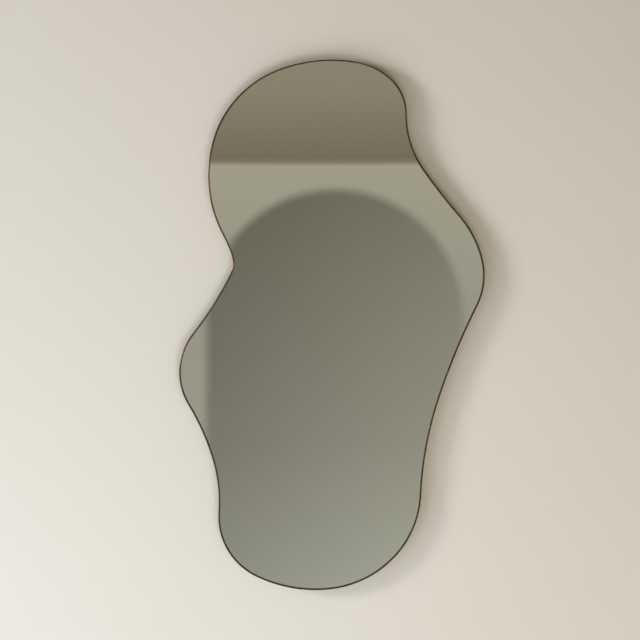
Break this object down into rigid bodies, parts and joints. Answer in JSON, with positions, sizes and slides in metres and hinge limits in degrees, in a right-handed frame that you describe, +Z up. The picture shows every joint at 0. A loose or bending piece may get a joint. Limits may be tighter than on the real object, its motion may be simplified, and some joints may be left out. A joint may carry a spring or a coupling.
{
  "type": "wall mirror",
  "caption": "Wall mirror with an irregular pebble-like outline in a thin brass frame, on a backing board with rubber bumpers and swinging D-ring hangers.",
  "frame": {"origin": "on the wall plane, midway between the bearing points of the two upper D-rings, above the middle of the mirror's weight", "axes": "+Z up as it hangs, +X to the right seen from the front, the mirror looks along -Y and the wall is the plane Y = 0"},
  "size_m": [0.5194, 0.023, 0.9018],
  "materials": {
    "frame_metal": "antique brass, brushed lengthwise and lacquered",
    "steel_plate": "zinc plated",
    "screw_steel": "yellow zinc",
    "clear_glass": "polished float glass with a ground edge",
    "mirror_layer": "silvered, painted behind",
    "film": "woven safety backing film",
    "board": "raw medium-density fibreboard",
    "adhesive": "cured mirror adhesive",
    "foam_tape": "foam mounting tape",
    "washer_steel": "zinc plated",
    "steel_strap": "nickel plated strip",
    "ring_steel": "nickel plated wire",
    "bumper_rubber": "soft matt rubber"
  },
  "bodies": {
    "mirror": {"frame_band": "frame_metal", "splice_plate": "steel_plate", "splice_screws": "screw_steel", "mirror_glass": "clear_glass", "mirror_silvering": "mirror_layer", "safety_film": "film", "backing_board": "board", "adhesive_beads": "adhesive", "flange_screws": "screw_steel", "bumper_washers": "washer_steel", "bumper_screws": "screw_steel", "mounting_tape_1": "foam_tape", "mounting_tape_2": "foam_tape", "mounting_tape_3": "foam_tape", "mounting_tape_4": "foam_tape", "mounting_tape_5": "foam_tape", "mounting_tape_6": "foam_tape", "mounting_tape_7": "foam_tape", "hanger_strap_upper_left": "steel_strap", "hanger_screws_upper_left": "screw_steel", "hanger_strap_upper_right": "steel_strap", "hanger_screws_upper_right": "screw_steel", "hanger_strap_side_upper": "steel_strap", "hanger_screws_side_upper": "screw_steel", "hanger_strap_side_lower": "steel_strap", "hanger_screws_side_lower": "screw_steel", "wall_bumper_crown": "bumper_rubber", "wall_bumper_shoulder": "bumper_rubber", "wall_bumper_foot_right": "bumper_rubber", "wall_bumper_foot_left": "bumper_rubber", "wall_bumper_belly": "bumper_rubber", "wall_bumper_head_left": "bumper_rubber"},
    "ring_upper_left": {"d_ring_upper_left": "ring_steel"},
    "ring_upper_right": {"d_ring_upper_right": "ring_steel"},
    "ring_side_upper": {"d_ring_side_upper": "ring_steel"},
    "ring_side_lower": {"d_ring_side_lower": "ring_steel"}
  },
  "joints": [
    {"name": "upper_left_ring_hinge", "type": "hinge", "parent": "mirror", "child": "ring_upper_left", "pos_m": [-0.09, -0.00522, -0.01548], "axis": [-1, 0, 0], "range_deg": [0, 180]},
    {"name": "upper_right_ring_hinge", "type": "hinge", "parent": "mirror", "child": "ring_upper_right", "pos_m": [0.09, -0.00522, -0.01548], "axis": [-1, 0, 0], "range_deg": [0, 180]},
    {"name": "side_upper_ring_hinge", "type": "hinge", "parent": "mirror", "child": "ring_side_upper", "pos_m": [0.13873, -0.00522, -0.1845], "axis": [0, 0, 1], "range_deg": [0, 180]},
    {"name": "side_lower_ring_hinge", "type": "hinge", "parent": "mirror", "child": "ring_side_lower", "pos_m": [0.13873, -0.00522, -0.4445], "axis": [0, 0, 1], "range_deg": [0, 180]}
  ]
}
